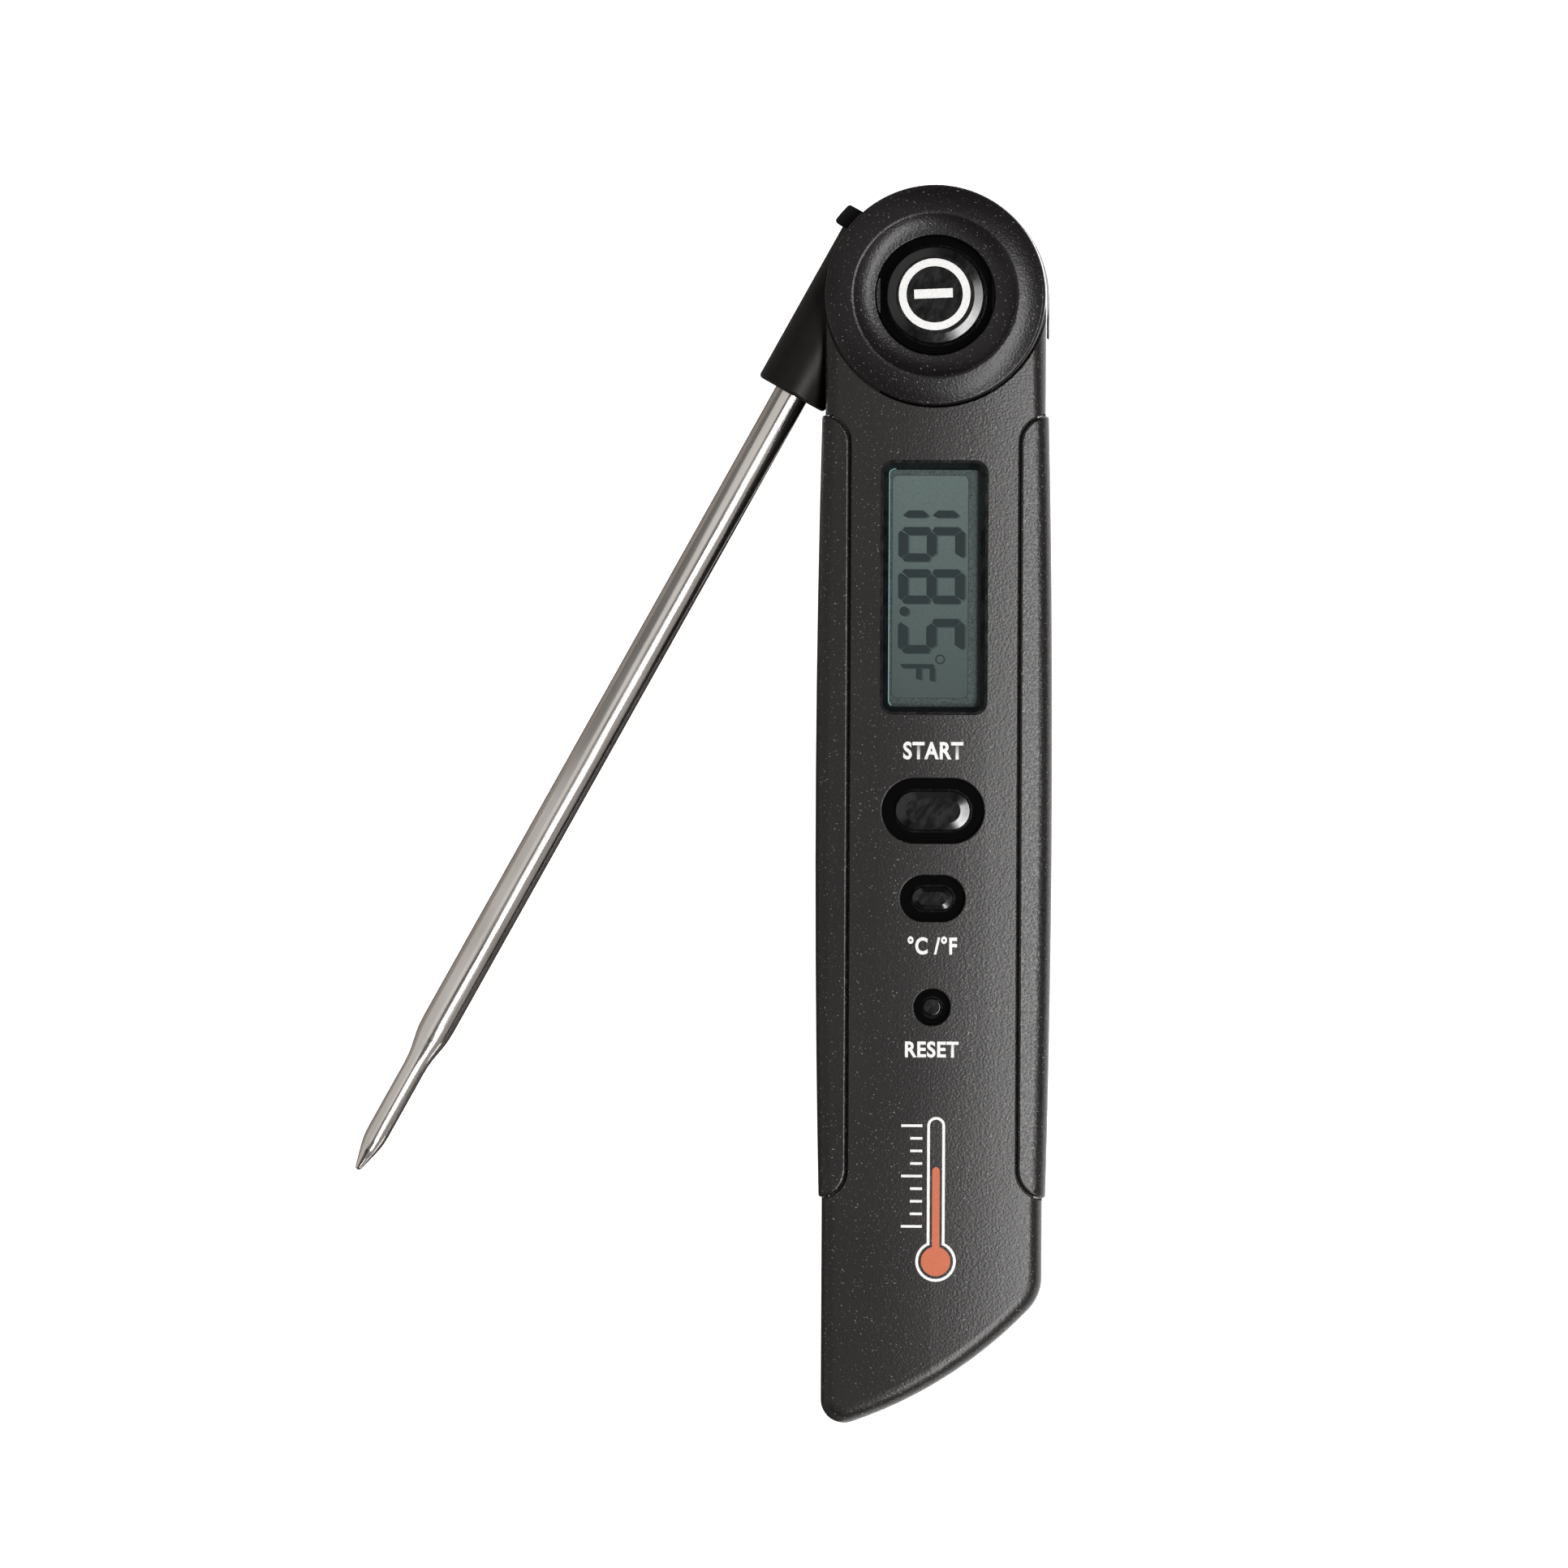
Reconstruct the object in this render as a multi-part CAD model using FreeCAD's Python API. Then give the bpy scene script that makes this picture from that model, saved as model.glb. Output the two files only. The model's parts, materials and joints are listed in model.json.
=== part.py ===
import FreeCAD, Part
import math
import os

from FreeCAD import Vector

os.makedirs("parts", exist_ok=True)

# Folding-probe meat thermometer, in millimetres.
# It lies on its back. The pivot axis of the probe is Z, through the origin, and the rear face is z = 0.
# The handle runs from the pivot towards -Y, the display faces +Z, and the probe opens towards -X.

# Handle
HALF_WIDTH = 13.6
DEPTH = 17.6
MID = 8.7
EDGE_ROUND = 2.0
CROWN_RADIUS = 80.0
TOE_X = -27.4
TOE_Y = -87.55
TOE_RADIUS = 54.3
TOE_CORNER = 5.7
HEEL_CORNER = 2.9
WALL = 1.5
TOE_WALL = 2.0
FACE = 2.0
INNER = 10.2
CAVITY_TOP = -16.0
CAVITY_SHOULDER = -21.4

# Head, hub and probe arm
HUB_RADIUS = 13.6
HUB_BORE = 8.48
HUB_HEIGHT = 9.2
GAP = 0.3
BOSS_OUTER = 8.4
BOSS_INNER = 6.9
ARM_RADIUS = HUB_HEIGHT / 2
ARM_START = -2.5
ARM_LENGTH = 19.4
PROBE_OFFSET = 9.95
PROBE_ANGLE = 29.0
TAB_RADIUS = 15.7
TAB_FROM = 1.8
TAB_TO = 4.6
TAB_CORNER = 0.45
WALL_START = -5.2

# Probe
TUBE_RADIUS = 2.15
TUBE_BORE = 1.75
TIP_RADIUS = 1.42
TIP_BORE = 1.0
TUBE_START = 7.0
TUBE_SEAT = 1.95
TAPER_FROM = 108.6
TAPER_MIDDLE = 111.8
TAPER_TO = 115.0
TAPER_BOW = 0.09

# Point of the probe, as (distance from the pivot, radius): a curved shoulder, a cone and a small ball
POINT_FROM = 123.95
POINT_SHOULDER = (125.2, 1.34)
POINT_CONE = (126.41, 1.105)
POINT_BALL = (128.95, 0.44)
BALL_RADIUS = 0.45

# Channel that the folded probe lies in
CHANNEL_HALF = 2.6
CHANNEL_INNER = -6.75
CHANNEL_WALL = 1.2
CHANNEL_END = -130.5
CHANNEL_CORNER = 2.0
POCKET_INNER = -4.4
POCKET_END = -19.9
POCKET_CORNER = 1.0
ROOF = 0.8
SEAM = 0.15

# Side grips
GRIP_TOP = -14.8
GRIP_MIDDLE = -65.0
GRIP_BOTTOM = -111.2
GRIP_BULGE = 14.6
GRIP_END = 14.0
GRIP_EDGE = 10.55
GRIP_REAR_EDGE = 12.0
GRIP_CORE = 12.6
GRIP_LIP = 1.9
GRIP_REAR_LIP = 1.2
GRIP_CORNER = 3.4
GROOVE = 0.3
LIP_ROUND = 0.35

# Head cap and power button
CAP_SEAT = 15.2
CAP_RADIUS = 13.6
CAP_CREST_RADIUS = 10.3
CAP_CREST = 19.0
CAP_RIM = 18.0
CAP_DISH = 18.1
WELL_RADIUS = 7.26
POWER_RADIUS = 6.0
POWER_FLAT = 4.85
POWER_TOP = 18.4

# Display
WINDOW_HALF = 6.65
WINDOW_TOP = -20.3
WINDOW_BOTTOM = -51.7
WINDOW_CORNER = 1.6
BEVEL = 1.0
GLASS_BASE = DEPTH - FACE
GLASS_TOP = GLASS_BASE + 0.7
BEZEL_TOP = DEPTH - 0.3
LCD_HALF = 6.4
LCD_TOP = -21.5
LCD_BOTTOM = -52.3
LCD_DEPTH = 1.2

# Circuit board
BOARD_BASE = 12.4
BOARD_TOP = 13.2
BOARD_HALF = 9.9
BOARD_START = -21.8
BOARD_END = -92.5

# Front buttons: x centre is 0, each has a well in the face and a cap in the well
RUNNING = 0.25
WELL_FLOOR = DEPTH - 1.2
WELL_ROUND = 0.15
WELL_RIM_SINK = 0.4
START_Y = -63.5
UNIT_Y = -74.3
RESET_Y = -87.7
START_WELL = (12.6, 8.0)
START_CAP = (9.3, 4.9)
START_FLAT = (6.8, 3.0)
KEY_BEVEL = 0.3
KEY_ROUND = 0.2
UNIT_WELL = (8.0, 5.7)
UNIT_CAP = (5.1, 2.9)
UNIT_FLAT = (3.5, 1.6)
RESET_WELL_RADIUS = 2.25
RESET_HOLE = 1.4
RESET_PIN = 1.1

# Battery and its door
CELL_X = 0.6
CELL_Z = 6.95
CELL_RADIUS = 5.25
CELL_TOP = -80.6
CELL_LENGTH = 44.5
NUB_LENGTH = 0.8
LEAF_LENGTH = 7.6
LEAF_RISE = 1.8
LEAF_THICK = 0.25
DOOR_HALF = 5.5
DOOR_TOP = -79.0
DOOR_DEPTH = 1.4
TONGUE = 0.6
TONGUE_BASE = 0.75
SLIDE_FIT = 0.15

GRIP_LINES = 5

# Fasteners
POST_RADIUS = 2.0
REAR_POST_RADIUS = 2.4
POST_X = 9.3
POSTS = [(POST_X, -18.6), (POST_X, -56.5), (POST_X, -96.0), (POST_X, -119.0), (-9.6, -134.2)]
SCREW_RADIUS = 0.85
HEAD_RADIUS = 1.75
HEAD_DEPTH = 1.3
HEAD_SINK = 0.5
PILOT_END = 14.8
WEB = 1.4
PIVOT_SCREWS = [(0, -4.2), (0, 4.2)]
RING_SPACING = 3.0
PIVOT_WASHER = 12.0
BOARD_SCREWS = [(-8.6, -24.5), (-8.6, -89.5), (8.6, -71.0)]

# Lengths shorter than this count as zero when edges are picked out
FINE = 1e-4


def save(shape, name):
    shape.exportStep("parts/" + name + ".step")


def box(x0, x1, y0, y1, z0, z1):
    return Part.makeBox(x1 - x0, y1 - y0, z1 - z0, Vector(x0, y0, z0))


def rod(radius, z0, z1, x=0.0, y=0.0):
    return Part.makeCylinder(radius, z1 - z0, Vector(x, y, z0))


def ring(outer, inner, z0, z1, x=0.0, y=0.0):
    return rod(outer, z0, z1, x, y).cut(rod(inner, z0 - 1, z1 + 1, x, y))


def upright_edges(shape):
    def upright(edge):
        box_of = edge.BoundBox
        return box_of.XLength < FINE and box_of.YLength < FINE
    return [edge for edge in shape.Edges if upright(edge)]


def edges_at(shape, z):
    def level(edge):
        return abs(edge.BoundBox.ZMin - z) + abs(edge.BoundBox.ZMax - z) < FINE
    return [edge for edge in shape.Edges if level(edge)]


def rounded_box(x0, x1, y0, y1, z0, z1, radius):
    block = box(x0, x1, y0, y1, z0, z1)
    return block.makeFillet(radius, upright_edges(block))


def pill_wire(width, height, z, y):
    """Outline with straight long sides and round ends."""
    r = height / 2
    run = width / 2 - r
    left = Part.Arc(Vector(-run, y + r, z), Vector(-run - r, y, z), Vector(-run, y - r, z)).toShape()
    right = Part.Arc(Vector(run, y - r, z), Vector(run + r, y, z), Vector(run, y + r, z)).toShape()
    top = Part.makeLine(Vector(run, y + r, z), Vector(-run, y + r, z))
    bottom = Part.makeLine(Vector(-run, y - r, z), Vector(run, y - r, z))
    return Part.Wire([left, bottom, right, top])


def pill(size, z0, z1, y):
    face = Part.Face(pill_wire(size[0], size[1], z0, y))
    return face.extrude(Vector(0, 0, z1 - z0))


def pill_taper(low, high, z0, z1, y):
    return Part.makeLoft([pill_wire(low[0], low[1], z0, y), pill_wire(high[0], high[1], z1, y)], True)


def turned(profile):
    """Solid of revolution about the pivot axis from (radius, z) points."""
    points = [Vector(r, 0, z) for r, z in profile]
    face = Part.Face(Part.makePolygon(points + points[:1]))
    return face.revolve(Vector(0, 0, 0), Vector(0, 0, 1), 360)


def grown(size, amount):
    return (size[0] + 2 * amount, size[1] + 2 * amount)


def toe(x, inset=0.0):
    """Y of the handle's curved lower end at x."""
    return TOE_Y - math.sqrt((TOE_RADIUS - inset) ** 2 - (x - TOE_X) ** 2)


def handle_plan(side, inset, z):
    """Handle outline: round head, straight sides and a slanting curved toe."""
    head = Part.Arc(Vector(-side, 0, z), Vector(0, side, z), Vector(side, 0, z)).toShape()
    right = Part.makeLine(Vector(side, 0, z), Vector(side, toe(side, inset), z))
    end = Part.Arc(
        Vector(side, toe(side, inset), z),
        Vector(0, toe(0, inset), z),
        Vector(-side, toe(-side, inset), z),
    ).toShape()
    left = Part.makeLine(Vector(-side, toe(-side, inset), z), Vector(-side, 0, z))
    return Part.Face(Part.Wire([head, right, end, left]))


def crown():
    """Long bar whose upper side is the gently domed face of the handle."""
    return Part.makeCylinder(CROWN_RADIUS, 400, Vector(0, -200, DEPTH - CROWN_RADIUS), Vector(0, 1, 0))


def face_edges(shape):
    """Edges round the domed face."""
    return [edge for edge in shape.Edges if edge.BoundBox.ZMin > DEPTH - 2.2]


def handle_block():
    block = handle_plan(HALF_WIDTH, 0, 0).extrude(Vector(0, 0, DEPTH))
    low = [edge for edge in upright_edges(block) if edge.Vertexes[0].Y < TOE_Y]
    block = block.makeFillet(TOE_CORNER, [edge for edge in low if edge.Vertexes[0].X > 0])
    low = [edge for edge in upright_edges(block) if edge.Vertexes[0].Y < TOE_Y]
    block = block.makeFillet(HEEL_CORNER, [edge for edge in low if edge.Vertexes[0].X < 1 - HALF_WIDTH])
    block = block.common(crown())
    return block.makeFillet(EDGE_ROUND, edges_at(block, 0) + face_edges(block))


def grip_plan(edge_x, gap):
    """Prism over the area of the right grip, with rounded inner corners."""
    top = GRIP_TOP + gap
    bottom = GRIP_BOTTOM - gap
    side = Part.Arc(
        Vector(GRIP_END, top, 0),
        Vector(GRIP_BULGE, GRIP_MIDDLE, 0),
        Vector(GRIP_END, bottom, 0),
    ).toShape()
    lines = Part.makePolygon([
        Vector(GRIP_END, bottom, 0),
        Vector(edge_x, bottom, 0),
        Vector(edge_x, top, 0),
        Vector(GRIP_END, top, 0),
    ])
    prism = Part.Face(Part.Wire([side] + lines.Edges)).extrude(Vector(0, 0, DEPTH))
    inner = [edge for edge in upright_edges(prism) if edge.BoundBox.XMax < GRIP_END - 0.1]
    return prism.makeFillet(GRIP_CORNER + gap, inner)


def grip_core(gap=0.0):
    """What the grip wraps around: the housing side and a narrower lip at the rear."""
    side = box(0, GRIP_CORE, GRIP_BOTTOM - 5, GRIP_TOP + 5, GRIP_REAR_LIP, DEPTH - GRIP_LIP)
    rear = box(0, GRIP_REAR_EDGE - gap, GRIP_BOTTOM - 5, GRIP_TOP + 5, -1, GRIP_REAR_LIP + 1)
    return side.fuse(rear)


def right_grip():
    prism = grip_plan(GRIP_EDGE, 0).common(crown())
    rims = edges_at(prism, 0) + face_edges(prism)
    prism = prism.makeFillet(EDGE_ROUND, [edge for edge in rims if edge.BoundBox.XMin > GRIP_END - 0.01])
    lip = [edge for edge in face_edges(prism) if edge.BoundBox.XMax < GRIP_EDGE + 0.01]
    prism = prism.makeFillet(LIP_ROUND, lip)
    return prism.cut(grip_core())


def grip_recess():
    """Seat of the grips; the groove round them stays shallow, so light can't pass through it."""
    recess = grip_plan(GRIP_EDGE - GROOVE, GROOVE).cut(grip_core(GROOVE))
    low = GRIP_REAR_LIP + 2 * GROOVE
    high = DEPTH - GRIP_LIP - 2 * GROOVE
    for y in (GRIP_TOP, GRIP_BOTTOM - GROOVE):
        recess = recess.cut(box(0, HALF_WIDTH, y, y + GROOVE, low, high))
    return recess.fuse(mirrored(recess))


def mirrored(shape):
    return shape.mirror(Vector(0, 0, 0), Vector(1, 0, 0))


def inner_corners(block, end):
    """Upright edge of a slot where its closed end meets its inner side."""
    edges = upright_edges(block)
    return [edge for edge in edges if edge.BoundBox.XMin > -HALF_WIDTH and edge.BoundBox.YMax < end + 1]


def arm_slot():
    """Space for the turning hub, the folded arm and the folded probe, open on the left side."""
    low = MID - ARM_RADIUS - GAP
    high = MID + ARM_RADIUS + GAP
    hub = rod(HUB_RADIUS + 0.35, low, high)
    stop = box(HALF_WIDTH - 2, HALF_WIDTH + 5, WALL_START, 0, low, high)
    pocket = box(-20, POCKET_INNER, POCKET_END, 0, low, high)
    pocket = pocket.makeFillet(POCKET_CORNER, inner_corners(pocket, POCKET_END))
    channel = box(-20, CHANNEL_INNER, CHANNEL_END, POCKET_END + 1, MID - CHANNEL_HALF, MID + CHANNEL_HALF)
    channel = channel.makeFillet(CHANNEL_CORNER, inner_corners(channel, CHANNEL_END))
    return hub.fuse([stop, pocket, channel])


def inside():
    """Hollow of the handle, with the room over the probe channel."""
    plan = handle_plan(INNER, TOE_WALL, 0).extrude(Vector(0, 0, DEPTH - FACE))
    left_wall = CHANNEL_INNER + CHANNEL_WALL
    deep = plan.common(box(left_wall, INNER, -200, CAVITY_SHOULDER, WALL, DEPTH - FACE))
    roof = MID + CHANNEL_HALF + ROOF
    over = plan.common(box(-INNER, left_wall, CHANNEL_END, CAVITY_SHOULDER, roof, DEPTH - FACE))
    shoulder = box(POCKET_INNER + WALL, INNER, CAVITY_SHOULDER, CAVITY_TOP, WALL, DEPTH - FACE)
    return deep.fuse([over, shoulder])


def seam():
    """Fine groove round the outside where the two shells meet."""
    outside = handle_plan(HALF_WIDTH + 1, -1, MID - SEAM).extrude(Vector(0, 0, 2 * SEAM))
    core = handle_plan(HALF_WIDTH - SEAM, SEAM, MID - 2 * SEAM).extrude(Vector(0, 0, 4 * SEAM))
    return outside.cut(core)


def housing():
    body = handle_block().cut(grip_recess())
    body = body.cut(arm_slot())
    body = body.cut(seam())
    return body.cut(inside())


def front_openings():
    window = rounded_box(
        -WINDOW_HALF, WINDOW_HALF, WINDOW_BOTTOM, WINDOW_TOP, GLASS_BASE - 1, DEPTH + 1, WINDOW_CORNER
    )
    start = pill(START_WELL, WELL_FLOOR, DEPTH + 1, START_Y)
    start = start.fuse(pill(grown(START_CAP, RUNNING), DEPTH - FACE - 1, WELL_FLOOR, START_Y))
    unit = pill(UNIT_WELL, WELL_FLOOR, DEPTH + 1, UNIT_Y)
    unit = unit.fuse(pill(grown(UNIT_CAP, RUNNING), DEPTH - FACE - 1, WELL_FLOOR, UNIT_Y))
    reset = rod(RESET_WELL_RADIUS, WELL_FLOOR, DEPTH + 1, 0, RESET_Y)
    reset = reset.fuse(rod(RESET_HOLE, DEPTH - FACE - 1, WELL_FLOOR, 0, RESET_Y))
    power = rod(POWER_RADIUS + 0.3, MID + 4, DEPTH + 2)
    return window.fuse([start, unit, reset, power])


def well_rims(shell):
    """Edges where the key wells meet the face."""
    half = START_WELL[0] / 2 + FINE

    def is_rim(edge):
        low = edge.BoundBox
        inside = low.XMax < half and low.XMin > -half and low.ZMin > DEPTH - WELL_RIM_SINK
        return inside and RESET_Y - 3 < low.YMin and low.YMax < START_Y + 5

    return [edge for edge in shell.Edges if is_rim(edge)]


def drilled(radius, z0, z1, places):
    return Part.makeCompound([rod(radius, z0, z1, x, y) for x, y in places])


def ring_groove(z):
    """Groove in the pivot boss for one friction ring."""
    return ring(BOSS_OUTER + 0.2, BOSS_OUTER - 0.95, z - 0.5, z + 0.5)


def front_shell():
    shell = housing().common(box(-20, 20, -150, 20, MID, DEPTH))
    shell = shell.cut(rod(CAP_RADIUS + GAP, CAP_SEAT, DEPTH + 1)).cut(front_openings())
    shell = shell.makeFillet(WELL_ROUND, well_rims(shell))
    boss = ring(BOSS_OUTER, BOSS_INNER, MID, CAP_SEAT - 1)
    web = rod(BOSS_INNER, MID, MID + WEB)
    posts = [rod(POST_RADIUS, MID, DEPTH - FACE, x, y) for x, y in POSTS[:4]]
    shell = shell.fuse([boss, web] + posts)
    shell = shell.cut(ring_groove(MID + RING_SPACING))
    shell = shell.cut(drilled(SCREW_RADIUS, MID, PILOT_END, POSTS))
    return shell.cut(drilled(SCREW_RADIUS, MID - 1, MID + WEB + 1, PIVOT_SCREWS))


def rear_shell():
    shell = housing().common(box(-20, 20, -150, 20, 0, MID))
    low = MID - ARM_RADIUS - GAP
    boss = ring(BOSS_OUTER, BOSS_INNER, low - 1, MID)
    posts = [rod(REAR_POST_RADIUS, WALL - 0.2, MID, x, y) for x, y in POSTS[:4] + PIVOT_SCREWS]
    shell = shell.fuse([boss] + posts)
    shell = shell.cut(ring_groove(MID - RING_SPACING))
    shell = shell.cut(drilled(SCREW_RADIUS + 0.2, -1, MID, POSTS + PIVOT_SCREWS))
    shell = shell.cut(drilled(HEAD_RADIUS + 0.25, -1, HEAD_SINK + HEAD_DEPTH, POSTS + PIVOT_SCREWS))
    return shell.cut(door_block(DOOR_HALF, DOOR_DEPTH, TONGUE_BASE, SLIDE_FIT))


def screw(z_end, x, y):
    """Pan head with a slot, sunk in the rear face, and a plain shank."""
    top = HEAD_SINK + HEAD_DEPTH
    head = rod(HEAD_RADIUS, HEAD_SINK, top, x, y)
    rim = edges_at(head, HEAD_SINK)
    head = head.makeFillet(0.35, rim)
    slot = box(x - 1.2, x + 1.2, y - 0.2, y + 0.2, HEAD_SINK - 1, HEAD_SINK + 0.6)
    cross = box(x - 0.2, x + 0.2, y - 1.2, y + 1.2, HEAD_SINK - 1, HEAD_SINK + 0.6)
    shank = rod(SCREW_RADIUS, top - 0.1, z_end, x, y)
    return head.cut(slot.fuse(cross)).fuse(shank)


def housing_screws():
    return Part.makeCompound([screw(PILOT_END - 1.0, x, y) for x, y in POSTS])


def pivot_screws():
    return Part.makeCompound([screw(MID + WEB - 0.1, x, y) for x, y in PIVOT_SCREWS])


def door_block(half, depth, tongue_base, fit):
    """Battery door section, open at the toe, or with a fit the slot that it slides in."""
    plate = box(CELL_X - half - fit, CELL_X + half + fit, -150, DOOR_TOP + fit, -1, depth + fit)
    wide = half + TONGUE + fit
    tongue = box(CELL_X - wide, CELL_X + wide, -150, DOOR_TOP + fit, tongue_base - fit, depth + fit)
    return plate.fuse(tongue)


def battery_door():
    door = handle_block().common(door_block(DOOR_HALF, DOOR_DEPTH, TONGUE_BASE, 0))
    for step in range(GRIP_LINES):
        y = DOOR_TOP - 5.0 - 1.6 * step
        door = door.cut(rounded_box(CELL_X - 3.4, CELL_X + 3.4, y - 0.4, y + 0.4, -1, 0.4, 0.39))
    return door


def left_grips():
    """The left grip is split in two by the slot for the arm and probe."""
    whole = mirrored(right_grip())
    front = whole.cut(arm_slot()).common(box(-20, 0, -120, 0, MID, DEPTH + 1))
    rear = whole.cut(arm_slot()).common(box(-20, 0, -120, 0, -1, MID))
    return front, rear


def head_cap():
    """Round cap over the pivot: sloping rim, crest and a dish down to the button well."""
    profile = Part.makePolygon([
        Vector(WELL_RADIUS, 0, CAP_SEAT),
        Vector(CAP_RADIUS, 0, CAP_SEAT),
        Vector(CAP_RADIUS, 0, CAP_RIM - 0.4),
    ]).Edges
    shoulder = CAP_RADIUS - 0.4
    profile.append(Part.Arc(
        Vector(CAP_RADIUS, 0, CAP_RIM - 0.4),
        Vector(CAP_RADIUS - 0.1, 0, CAP_RIM - 0.12),
        Vector(shoulder, 0, CAP_RIM + 0.06),
    ).toShape())
    crest = Vector(CAP_CREST_RADIUS + 0.25, 0, CAP_CREST - 0.04)
    profile.append(Part.Arc(
        Vector(shoulder, 0, CAP_RIM + 0.06),
        Vector((shoulder + crest.x) / 2, 0, (CAP_RIM + CAP_CREST) / 2 + 0.12),
        crest,
    ).toShape())
    inner_crest = Vector(CAP_CREST_RADIUS - 0.25, 0, CAP_CREST - 0.06)
    profile.append(Part.Arc(crest, Vector(CAP_CREST_RADIUS, 0, CAP_CREST), inner_crest).toShape())
    lip = Vector(WELL_RADIUS + 0.3, 0, CAP_DISH)
    profile.append(Part.Arc(inner_crest, Vector(8.8, 0, CAP_DISH + 0.22), lip).toShape())
    edge = Vector(WELL_RADIUS, 0, CAP_DISH - 0.3)
    profile.append(Part.Arc(lip, Vector(WELL_RADIUS + 0.09, 0, CAP_DISH - 0.09), edge).toShape())
    profile.append(Part.makeLine(edge, Vector(WELL_RADIUS, 0, CAP_SEAT)))
    return Part.Face(Part.Wire(profile)).revolve(Vector(0, 0, 0), Vector(0, 0, 1), 360)


def power_button():
    """Button in the pivot: stem, retaining flange, skirt, round edge and shallow bevel to the top."""
    under = MID + ARM_RADIUS + GAP
    button = turned([
        (0, under - 1.0), (1.5, under - 1.0), (1.5, under - 0.8), (POWER_RADIUS + 0.55, under - 0.8),
        (POWER_RADIUS + 0.55, under - 0.2), (POWER_RADIUS, under - 0.2),
        (POWER_RADIUS, POWER_TOP - KEY_BEVEL), (POWER_FLAT, POWER_TOP), (0, POWER_TOP),
    ])
    return button.makeFillet(KEY_ROUND, edges_at(button, POWER_TOP - KEY_BEVEL))


def cap_button(cap, flat, y):
    """Pill-shaped key: flange and stem behind the face, tapered cap in the well."""
    under = DEPTH - FACE - 0.2
    flange = pill(grown(cap, 0.8), under - 0.5, under, y)
    edge = DEPTH - 0.1 - KEY_BEVEL
    skirt = pill(cap, under - 0.1, edge, y)
    key = skirt.fuse(pill_taper(cap, flat, edge, DEPTH - 0.1, y))
    key = key.makeFillet(KEY_ROUND, edges_at(key, edge))
    return flange.fuse(key)


def start_button():
    return cap_button(START_CAP, START_FLAT, START_Y)


def unit_button():
    return cap_button(UNIT_CAP, UNIT_FLAT, UNIT_Y)


def reset_button():
    under = DEPTH - FACE - 0.2
    flange = rod(RESET_HOLE + 0.9, under - 0.5, under, 0, RESET_Y)
    pin = rod(RESET_PIN, under - 0.1, DEPTH - 0.6, 0, RESET_Y)
    pin = pin.makeFillet(KEY_ROUND, edges_at(pin, DEPTH - 0.6))
    return flange.fuse(pin)


def window_bezel():
    """Black frame that slopes from the face down to the glass."""
    outer = rounded_box(
        -WINDOW_HALF, WINDOW_HALF, WINDOW_BOTTOM, WINDOW_TOP, GLASS_TOP, BEZEL_TOP, WINDOW_CORNER
    )
    rims = []
    for inset, z in ((BEVEL, GLASS_TOP - 0.01), (0.35, BEZEL_TOP + 0.01)):
        x, y0, y1 = WINDOW_HALF - inset, WINDOW_BOTTOM + inset, WINDOW_TOP - inset
        sheet = rounded_box(-x, x, y0, y1, z, z + 1, max(WINDOW_CORNER - inset, 0.5))
        rims.append(Part.Wire(Part.sortEdges(edges_at(sheet, z))[0]))
    return outer.cut(Part.makeLoft(rims, True))


def display_window():
    return rounded_box(
        -WINDOW_HALF, WINDOW_HALF, WINDOW_BOTTOM, WINDOW_TOP, GLASS_BASE, GLASS_TOP, WINDOW_CORNER
    )


def lcd_panel():
    """Two bonded glass plates, the rear one longer at the contact ledge."""
    top = GLASS_BASE - 0.2
    front = box(-LCD_HALF, LCD_HALF - 1.6, LCD_BOTTOM, LCD_TOP, top - 0.6, top)
    rear = box(-LCD_HALF, LCD_HALF, LCD_BOTTOM, LCD_TOP, top - LCD_DEPTH, top - 0.6)
    return front.fuse(rear)


def lcd_reflector():
    top = GLASS_BASE - 0.2 - LCD_DEPTH
    return box(-LCD_HALF, LCD_HALF - 1.8, LCD_BOTTOM, LCD_TOP, top - 0.25, top)


def zebra_strip():
    top = GLASS_BASE - 0.2 - LCD_DEPTH
    return box(LCD_HALF - 1.5, LCD_HALF - 0.1, LCD_BOTTOM + 1, LCD_TOP - 1, BOARD_TOP, top)


def lcd_frame():
    """Holder clipped round the display glass."""
    outer = box(-LCD_HALF - 0.9, LCD_HALF + 0.9, LCD_BOTTOM - 0.9, LCD_TOP, BOARD_TOP, GLASS_BASE - 0.3)
    return outer.cut(box(-LCD_HALF, LCD_HALF, LCD_BOTTOM, LCD_TOP + 1, BOARD_TOP - 1, GLASS_BASE))


def main_board():
    board = box(-BOARD_HALF, BOARD_HALF, BOARD_END, BOARD_START, BOARD_BASE, BOARD_TOP)
    board = board.cut(drilled(POST_RADIUS + 0.3, BOARD_BASE - 1, BOARD_TOP + 1, POSTS))
    post_y = POSTS[1][1]
    edge = box(POST_X, BOARD_HALF + 1, post_y - 2.3, post_y + 2.3, BOARD_BASE - 1, BOARD_TOP + 1)
    return board.cut(edge).cut(drilled(0.6, BOARD_BASE - 1, BOARD_TOP + 1, BOARD_SCREWS))


def board_screws():
    """Small screws that hold the board up against the face."""
    screws = []
    for x, y in BOARD_SCREWS:
        head = rod(1.2, BOARD_BASE - 0.28, BOARD_BASE, x, y)
        screws.append(head.fuse(rod(0.55, BOARD_BASE - 0.1, GLASS_BASE - 0.1, x, y)))
    return Part.makeCompound(screws)


def processor_chip():
    return box(-3.4, 3.4, -46.0, -39.2, BOARD_BASE - 1.0, BOARD_BASE)


def crystal():
    can = Part.makeCylinder(1.0, 6.0, Vector(6.0, -42.0, BOARD_BASE - 1.0), Vector(0, 1, 0))
    return can.makeFillet(0.3, can.Edges[0:1])


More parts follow.
